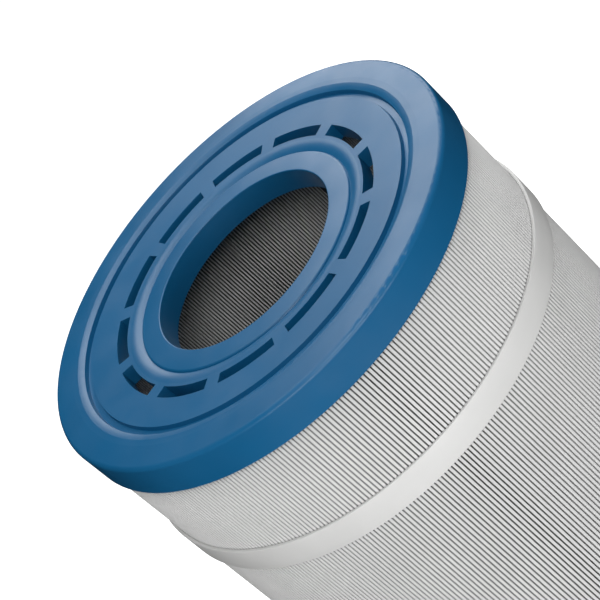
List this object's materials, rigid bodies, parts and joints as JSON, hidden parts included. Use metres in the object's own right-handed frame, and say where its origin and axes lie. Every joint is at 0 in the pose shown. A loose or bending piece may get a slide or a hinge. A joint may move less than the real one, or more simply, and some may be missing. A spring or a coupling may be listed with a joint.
{
  "type": "filter cartridge",
  "caption": "Pleated pool and spa filter cartridge with blue slotted end caps, a through bore and flat white bands round the pleats.",
  "frame": {"origin": "centre of the lower end face, on the cartridge's axis", "axes": "+Z along the cartridge's axis, from the lower end cap to the upper one; +X through the middle of a slot"},
  "size_m": [0.1778, 0.1778, 0.498],
  "materials": {
    "end_cap": "satin moulded blue polyurethane",
    "potting": "cured potting compound",
    "media": "folded spun-bonded polyester sheet",
    "seam_adhesive": "hot-melt adhesive",
    "core": "moulded dark plastic",
    "band": "smooth white plastic strap"
  },
  "bodies": {
    "root": {"end_cap_top": "end_cap", "end_cap_bottom": "end_cap", "potting_ring_top": "potting", "potting_ring_bottom": "potting", "pleated_media": "media", "media_seam_strip": "seam_adhesive", "core_section_upper": "core", "core_section_lower": "core", "core_coupler": "core", "band_upper": "band", "band_middle": "band", "band_lower": "band"}
  },
  "joints": []
}
